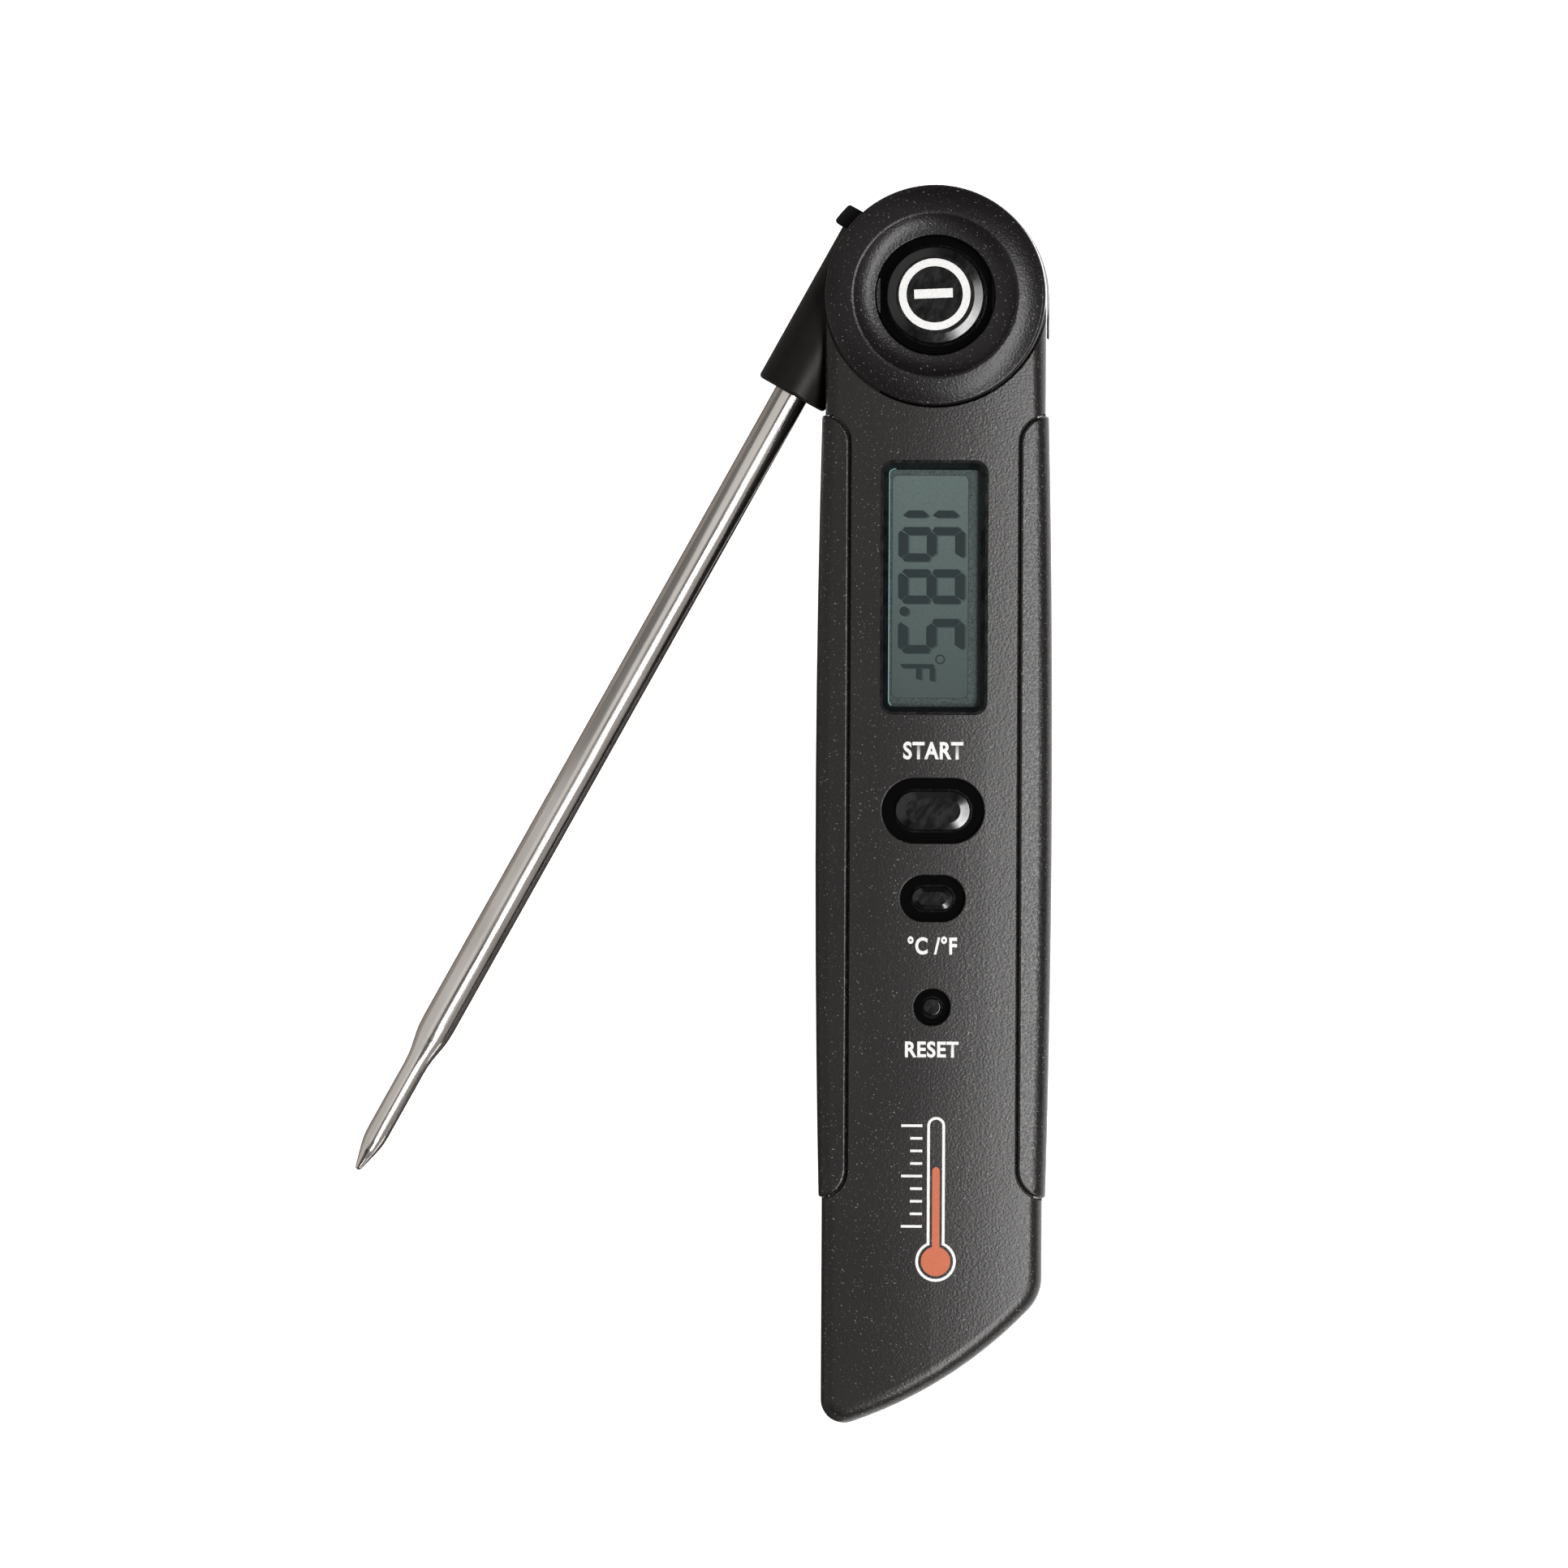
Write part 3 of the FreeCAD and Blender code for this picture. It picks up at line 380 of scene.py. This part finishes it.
FINISHES = {
    "shell_plastic": shell_plastic(),
    "grip_plastic": grip_plastic(),
    "gloss_black": gloss_plastic(),
    "clear_window": clear_window(),
    "lcd_glass": display_back(),
    "foil": plain_metal("foil", (0.62, 0.64, 0.62), 0.3),
    "inner_plastic": satin_plastic("inner_plastic", (0.03, 0.03, 0.03), 0.5),
    "black_rubber": matt("black_rubber", (0.02, 0.02, 0.02)),
    "circuit_board": circuit_board(),
    "screw_steel": plain_metal("screw_steel", (0.42, 0.42, 0.43), 0.32),
    "ceramic": matt("ceramic", (0.36, 0.27, 0.17), 0.6),
    "nylon": satin_plastic("nylon", (0.70, 0.69, 0.63), 0.45),
    "cell_case": plain_metal("cell_case", (0.50, 0.52, 0.55), 0.3),
    "plated_steel": plain_metal("plated_steel", (0.72, 0.70, 0.65), 0.25),
    "hub_plastic": satin_plastic("hub_plastic", (0.006, 0.0052, 0.0048), 0.42, 0.1),
    "stainless": probe_steel(),
    "copper": plain_metal("copper", (0.70, 0.36, 0.20), 0.3),
    "filler": matt("filler", (0.60, 0.58, 0.52), 0.7),
}
CAP_FINISH = cap_plastic()
WHITE_INK = printed("white_ink", (0.62, 0.62, 0.61))
ORANGE_INK = printed("orange_ink", (0.40, 0.085, 0.028))


def finish_nodes():
    """Gives every CAD node the material of its slot in the record."""
    slots = {entry["node"]: entry["material_slot"] for entry in frame["record"]["subparts"]}
    for node, piece in frame["nodes"].items():
        look = CAP_FINISH if node == "head_cap" else FINISHES[slots[node]]
        piece.data.materials.clear()
        piece.data.materials.append(look)


# ---------------------------------------------------------------- pieces


def add_piece(name, mesh, look, body):
    piece = bpy.data.objects.new(name, mesh)
    bpy.context.scene.collection.objects.link(piece)
    mesh.materials.clear()
    mesh.materials.append(look)
    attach(piece, body)
    return piece


def surface_of(node):
    """Ray-casting tree of a CAD node, to lay print on its face."""
    piece = frame["nodes"][node]
    points = [piece.matrix_world @ v.co for v in piece.data.vertices]
    return BVHTree.FromPolygons(points, [tuple(p.vertices) for p in piece.data.polygons])


def laid_on(mesh, surface):
    """Lowers each point of a flat mesh onto the surface below it."""
    for vertex in mesh.vertices:
        hit = surface.ray_cast(Vector((vertex.co.x, vertex.co.y, DROP_HEIGHT)), Vector((0, 0, -1)))
        vertex.co.z = hit[0].z + INK_LIFT
    return mesh


def polygon_mesh(name, outlines):
    """Flat mesh of closed outlines given as (x, y) points in metres."""
    sheet = bmesh.new()
    for outline in outlines:
        sheet.faces.new([sheet.verts.new((x, y, 0)) for x, y in outline])
    mesh = bpy.data.meshes.new(name)
    sheet.to_mesh(mesh)
    sheet.free()
    return mesh


def arc_points(x, y, radius, start, end, count):
    """Points on an arc, angles in degrees."""
    angles = [math.radians(start + (end - start) * i / count) for i in range(count + 1)]
    return [(x + radius * math.cos(a), y + radius * math.sin(a)) for a in angles]


def rounded_outline(x0, x1, y0, y1, radius, count=8):
    corners = (
        (x1 - radius, y1 - radius, 0),
        (x0 + radius, y1 - radius, 90),
        (x0 + radius, y0 + radius, 180),
        (x1 - radius, y0 + radius, 270),
    )
    outline = []
    for x, y, start in corners:
        outline += arc_points(x, y, radius, start, start + 90, count)
    return outline


def band_mesh(name, outer, inner, closed=True):
    """Flat band of quads between two outlines with the same number of points."""
    sheet = bmesh.new()
    far = [sheet.verts.new((x, y, 0)) for x, y in outer]
    near = [sheet.verts.new((x, y, 0)) for x, y in inner]
    for i in range(len(far) - (0 if closed else 1)):
        j = (i + 1) % len(far)
        sheet.faces.new((far[i], far[j], near[j], near[i]))
    mesh = bpy.data.meshes.new(name)
    sheet.to_mesh(mesh)
    sheet.free()
    return mesh


def ring_mesh(name, x, y, outer, inner, count=96):
    """Flat round ring."""
    far = arc_points(x, y, outer, 0, 360, count)[:-1]
    near = arc_points(x, y, inner, 0, 360, count)[:-1]
    return band_mesh(name, far, near)


def frame_line(name, x0, x1, y0, y1, radius, line):
    """Thin closed line round a rounded rectangle."""
    outer = rounded_outline(x0, x1, y0, y1, radius)
    inner = rounded_outline(x0 + line, x1 - line, y0 + line, y1 - line, radius - line)
    return band_mesh(name, outer, inner)


def glass_shine_band(name, x, y_top, y_low):
    """Painted highlight along the glass's edge, down its left side and round both corners."""
    radius, line = 0.75 * MM, 0.1 * MM
    sides = []
    for reach in (radius, radius - line):
        upper = arc_points(x + radius, y_top - radius, reach, 80, 180, 10)
        lower = arc_points(x + radius, y_low + radius, reach, 180, 240, 8)
        sides.append(upper + lower)
    return band_mesh(name, *sides, closed=False)


def box_outline(x0, x1, y0, y1):
    return [(x0, y0), (x1, y0), (x1, y1), (x0, y1)]


def text_mesh(name, words, middle, width, height):
    """Printed words, scaled to a width and height about their middle."""
    curve = bpy.data.curves.new(name, "FONT")
    curve.body = words
    curve.offset = LETTER_WEIGHT
    curve.resolution_u = 6
    curve.space_character = LETTER_SPACE
    holder = bpy.data.objects.new(name + "_holder", curve)
    bpy.context.scene.collection.objects.link(holder)
    bpy.context.view_layer.update()
    mesh = bpy.data.meshes.new_from_object(holder)
    bpy.data.objects.remove(holder)
    bpy.data.curves.remove(curve)
    xs = [v.co.x for v in mesh.vertices]
    ys = [v.co.y for v in mesh.vertices]
    for vertex in mesh.vertices:
        vertex.co.x = middle[0] + ((vertex.co.x - min(xs)) / (max(xs) - min(xs)) - 0.5) * width
        vertex.co.y = middle[1] + ((vertex.co.y - min(ys)) / (max(ys) - min(ys)) - 0.5) * height
    mesh.name = name
    return mesh


def add_legends():
    """Function names printed beside the keys."""
    face = surface_of("front_shell")
    labels = (
        ("start_label", "START", "start_button", 7.4, 7.4, 2.2),
        ("unit_label", "°C /°F", "unit_button", -5.8, 6.1, 2.25),
        ("reset_label", "RESET", "reset_button", -5.2, 6.6, 2.0),
    )
    for name, words, key, away, width, height in labels:
        middle = centre(key)
        mesh = text_mesh(name, words, (middle.x, middle.y + away * MM), width * MM, height * MM)
        add_piece(name, laid_on(mesh, face), WHITE_INK, "handle")


def add_power_mark():
    """Ring and bar printed on the power key."""
    key = surface_of("power_button")
    ring = ring_mesh("power_ring", -0.08 * MM, 0.08 * MM, 4.42 * MM, 3.47 * MM)
    add_piece("power_ring", laid_on(ring, key), WHITE_INK, "power_key")
    half_long, half_wide = 2.38 * MM, 0.57 * MM
    outline = rounded_outline(-half_long, half_long, -half_wide, half_wide, 0.06 * MM, 3)
    bar = polygon_mesh("power_bar", [outline])
    tilt = Matrix.Rotation(math.radians(2.5), 4, "Z")
    bar.transform(Matrix.Translation((-0.22 * MM, 0.18 * MM, 0)) @ tilt)
    add_piece("power_bar", laid_on(bar, key), WHITE_INK, "power_key")


def thermometer_outline(x, bulb_y, top_y, half, bulb):
    """Closed outline of a tube with a round top that runs down into a round bulb."""
    joint = math.degrees(math.asin(half / bulb))
    outline = arc_points(x, bulb_y, bulb, 90 + joint, 450 - joint, 48)
    return outline + arc_points(x, top_y - half, half, 0, 180, 16)


def add_scale_mark():
    """Generic printed thermometer with its graduations, near the toe of the handle."""
    face = surface_of("front_shell")
    x, bulb_y, top_y = 0.6 * MM, -119.0 * MM, -101.2 * MM
    outer = thermometer_outline(x, bulb_y, top_y, 1.1 * MM, 2.5 * MM)
    inner = thermometer_outline(x, bulb_y, top_y - 0.34 * MM, 0.76 * MM, 2.16 * MM)
    outline = band_mesh("scale_outline", outer, inner)
    add_piece("scale_outline", laid_on(outline, face), WHITE_INK, "handle")
    column = thermometer_outline(x, bulb_y, -107.4 * MM, 0.46 * MM, 1.82 * MM)
    filled = polygon_mesh("scale_column", [column])
    add_piece("scale_column", laid_on(filled, face), ORANGE_INK, "handle")
    foot, half_thick = x - 1.7 * MM, 0.16 * MM
    ticks = []
    for step in range(9):
        y = bulb_y + (4.3 + 1.55 * step) * MM
        reach = (2.6 if step % 4 == 0 else 1.5) * MM
        ticks.append(box_outline(foot - reach, foot, y - half_thick, y + half_thick))
    marks = polygon_mesh("scale_ticks", ticks)
    add_piece("scale_ticks", laid_on(marks, face), WHITE_INK, "handle")


# Seven-segment digits. In a digit's own plane u runs along the reading and v runs up.

DIGIT_WIDE = 4.25 * MM
DIGIT_TALL = 8.2 * MM
STROKE_FLAT = 1.2 * MM
STROKE_UP = 1.0 * MM
SEGMENT_GAP = 0.035 * MM
LIT = {"6": "acdefg", "8": "abcdefg", "5": "acdfg"}


def segment_outline(which):
    """Mitred outline of one segment; the others are mirror images of these three."""
    w, h, cut, g = DIGIT_WIDE, DIGIT_TALL, 0.75 * MM, SEGMENT_GAP
    up, flat = STROKE_UP, STROKE_FLAT
    if which == "g":
        return [
            (up * 0.55 + g, h / 2), (up + g, h / 2 + flat / 2), (w - up - g, h / 2 + flat / 2),
            (w - up * 0.55 - g, h / 2), (w - up - g, h / 2 - flat / 2), (up + g, h / 2 - flat / 2),
        ]
    if which in "ad":
        half = [
            (cut * 0.55 + g, h - cut * 0.42), (cut, h), (w - cut, h),
            (w - cut * 0.55 - g, h - cut * 0.42), (w - up - g, h - flat), (up + g, h - flat),
        ]
        return half if which == "a" else [(u, h - v) for u, v in half]
    side = [
        (w, h - cut), (w, h / 2 + 0.35 * MM), (w - up * 0.5, h / 2 + 0.06 * MM + g),
        (w - up, h / 2 + flat / 2 + g), (w - up, h - flat - g), (w - cut * 0.48, h - cut * 0.58 - g),
    ]
    if which in "fe":
        side = [(w - u, v) for u, v in side]
    if which in "ce":
        side = [(u, h - v) for u, v in side]
    return side


def on_display(points, u0, v0):
    """The reading runs towards -Y and the digits' tops point to +X."""
    return [(v0 + v, u0 - u) for u, v in points]


def reading():
    """Outlines of the lit segments of the reading, in the part's frame."""
    base = -4.5 * MM
    shapes = []
    for digit, start in (("6", -28.55), ("8", -33.75), ("5", -39.85)):
        shapes += [on_display(segment_outline(s), start * MM, base) for s in LIT[digit]]
    for low, long in ((0.55, 3.2), (4.2, 3.3)):
        bar = [(0.9, 0.55), (0.9, long - 0.4), (0.62, long), (0.0, long - 0.7), (0.0, 0.7), (0.62, 0.0)]
        shapes.append(on_display([(u * MM, (v + low) * MM) for u, v in bar], -26.5 * MM, base))
    shapes.append(arc_points(base + 0.75 * MM, -38.95 * MM, 0.58 * MM, 0, 345, 23))
    stem = [(0.0, 0.3), (0.0, 4.4), (0.5, 4.4), (0.5, 0.6)]
    upper_arm = [(0.5, 4.55), (2.15, 4.55), (2.0, 3.95), (0.5, 3.95)]
    lower_arm = [(0.5, 2.9), (1.95, 2.9), (1.8, 2.25), (0.5, 2.25)]
    for part in (stem, upper_arm, lower_arm):
        shapes.append(on_display([(u * MM, v * MM) for u, v in part], -45.45 * MM, base))
    return shapes


def add_display():
    """Picture area and its edge line, lit segments and their faint painted shadow, and a painted highlight
    on the glass's edge.
    """
    level = top("lcd_panel")
    low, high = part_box("display_window")
    picture = rounded_outline(-5.25 * MM, 4.1 * MM, -49.6 * MM, -22.2 * MM, 0.7 * MM)
    area = polygon_mesh("lcd_area", [picture])
    area.transform(Matrix.Translation((0, 0, level + 0.01 * MM)))
    add_piece("lcd_area", area, display_area(), "handle")
    edge = frame_line("lcd_area_edge", -5.3 * MM, 4.17 * MM, -49.67 * MM, -22.13 * MM, 0.75 * MM, 0.07 * MM)
    edge.transform(Matrix.Translation((0, 0, level + 0.02 * MM)))
    dark = segment_ink("lcd_edge_line", (0.02, 0.028, 0.028), 0.8)
    add_piece("lcd_area_edge", edge, dark, "handle")
    shade = segment_ink("lcd_segment_shadow", (0.02, 0.028, 0.028), 0.3)
    ink = segment_ink("lcd_segment_ink", (0.015, 0.021, 0.023), 0.95)
    layers = (("lcd_shadow", shade, 0.03, 0.22), ("lcd_reading", ink, 0.06, 0.0))
    for name, look, lift, shift in layers:
        mesh = polygon_mesh(name, reading())
        mesh.transform(Matrix.Translation((shift * MM, -0.5 * shift * MM, level + lift * MM)))
        add_piece(name, mesh, look, "handle")
    # Painted highlight: a light cyan band on the glass's left edge and corners.
    rim = glass_shine_band("window_painted_glass_shine", low[0] + 1.0 * MM, high[1] - 1.05 * MM, low[1] + 1.05 * MM)
    rim.transform(Matrix.Translation((0, 0, high[2] + 0.01 * MM)))
    bright = segment_ink("painted_glass_shine", (0.16, 0.33, 0.32), 0.7)
    add_piece("window_painted_glass_shine", rim, bright, "handle")
    degree = ring_mesh("lcd_degree", 0.72 * MM, -44.85 * MM, 0.6 * MM, 0.44 * MM, 40)
    degree.transform(Matrix.Translation((0, 0, level + 0.06 * MM)))
    add_piece("lcd_degree", degree, ink, "handle")


# ---------------------------------------------------------------- stage, light and camera


def probe_directions():
    """Unit vectors in plan: along the probe away from the pivot, and across it away from the handle."""
    sine, cosine = math.sin(PROBE_TURN), math.cos(PROBE_TURN)
    return Vector((-sine, -cosine)), Vector((-cosine, sine))


def only_reflected(card):
    """Leaves a card to be seen in reflections alone."""
    card.visible_camera = False
    card.visible_diffuse = False
    card.visible_shadow = False


def flat_card(name, corners, height):
    mesh = bpy.data.meshes.new(name)
    mesh.from_pydata([(x, y, height) for x, y in corners], [], [tuple(range(len(corners)))])
    card = bpy.data.objects.new(name, mesh)
    bpy.context.scene.collection.objects.link(card)
    return card


def add_floor():
    """White sweep that also glows, so that shadows stay faint."""
    level = CAD_BOX[0][2] - 0.05 * MM
    floor = flat_card("floor", box_outline(-FLOOR_HALF, FLOOR_HALF, -FLOOR_HALF, FLOOR_HALF), level)
    shade = Shade("floor_paper", Roughness=0.9, Emission_Color=(1, 1, 1, 1), Emission_Strength=1.15)
    shade.shader.inputs["Base Color"].default_value = (0.85, 0.85, 0.85, 1)
    floor.data.materials.append(shade.material)


def add_cards():
    """Grey and dark cards beside the probe, there only for its reflections."""
    level = CAD_BOX[0][2] - 0.03 * MM
    along, across = probe_directions()
    middle = centre("probe_tube").to_2d()
    near, far = middle - 0.16 * along, middle + 0.3 * along
    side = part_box("left_front_grip")[0][0]
    outer = [near, far, far + 0.4 * across, near + 0.4 * across]
    start = middle + along * (side - middle.x) / along.x
    inner = [start, far, Vector((side, far.y))]
    for name, corners, colour in (("grey_card", outer, 0.24), ("dark_card", inner, 0.045)):
        card = flat_card(name, corners, level)
        shade = Shade(name, Roughness=0.9)
        shade.shader.inputs["Base Color"].default_value = (colour, colour * 0.92, colour * 0.86, 1)
        card.data.materials.append(shade.material)
        only_reflected(card)


def standing_card(name, outline, radiance):
    """Upright card to the left of the probe; outline gives (distance from the pivot, height)."""
    level = CAD_BOX[0][2]
    along, across = probe_directions()
    foot = CARD_AWAY * across
    spots = [foot + away * along for away, _ in outline]
    card = flat_card(name, [tuple(spot) for spot in spots], level)
    for vertex, (_, height) in zip(card.data.vertices, outline):
        vertex.co.z = level + height
    shade = Shade(name, Roughness=0.9, Emission_Color=(1, 0.98, 0.96, 1), Emission_Strength=radiance)
    shade.shader.inputs["Base Color"].default_value = (0, 0, 0, 1)
    card.data.materials.append(shade.material)
    only_reflected(card)


def add_panel(name, lean, size, radiance, colour, turn, shift=0.0):
    """Soft box that leans over by an angle and runs along a line turned from the handle."""
    lamp = bpy.data.lights.new(name, "AREA")
    lamp.shape = "RECTANGLE"
    lamp.size, lamp.size_y = size
    lamp.energy = radiance * math.pi * size[0] * size[1]
    lamp.color = colour
    holder = bpy.data.objects.new(name, lamp)
    bpy.context.scene.collection.objects.link(holder)
    angle = math.radians(lean)
    along = Vector((math.sin(turn), math.cos(turn), 0))
    side = Vector((math.cos(turn), -math.sin(turn), 0))
    out = side * math.sin(angle) + Vector((0, 0, math.cos(angle)))
    facing = Matrix((along.cross(out), along, out)).transposed().to_4x4()
    middle = Vector((-0.02, -0.06, 0.0))
    holder.matrix_world = Matrix.Translation(middle + out * PANEL_REACH + along * shift) @ facing
    holder.visible_camera = False


def add_lights():
    add_panel("key", 20.5, (0.25, 1.2), 24.0, (1, 0.99, 0.985), 0, -0.4)
    add_panel("back", -35.5, (1.1, 1.2), 0.75, (1, 0.985, 0.965), PROBE_TURN)
    add_panel("right", 66, (0.8, 1.4), 0.3, (1, 0.96, 0.92), PROBE_TURN)
    standing_card("slanted_card", [(0, 0), (0.077, 0), (0.077, 0.215)], 0.17)
    standing_card("light_card", [(0.077, 0), (0.3, 0), (0.3, 0.21), (0.077, 0.21)], 0.62)
    world = bpy.data.worlds.new("studio")
    world.use_nodes = True
    world.node_tree.nodes["Background"].inputs["Color"].default_value = (0.06, 0.059, 0.058, 1)
    bpy.context.scene.world = world


def add_camera():
    """Long lens from high above, a little to the right of the handle and turned by a third of a degree."""
    view_width = 193.2 * MM
    sensor = 36
    target = Vector((-18.4 * MM, -60.3 * MM, 17 * MM))
    spot = Vector((0.09, target.y, 2.5))
    lens = bpy.data.cameras.new("camera")
    lens.sensor_width = sensor
    lens.lens = sensor * (spot - target).length / view_width
    lens.clip_end = 20
    camera = bpy.data.objects.new("camera", lens)
    bpy.context.scene.collection.objects.link(camera)
    back = (spot - target).normalized()
    right = Vector((0, 1, 0)).cross(back).normalized()
    aim = Matrix((right, back.cross(right), back)).transposed().to_4x4()
    roll = Matrix.Rotation(math.radians(0.29), 4, "Z")
    camera.matrix_world = Matrix.Translation(spot) @ aim @ roll
    bpy.context.scene.camera = camera


finish_nodes()
add_legends()
add_power_mark()
add_scale_mark()
add_display()
add_floor()
add_cards()
add_lights()
add_camera()
bpy.context.scene.view_settings.view_transform = "Standard"
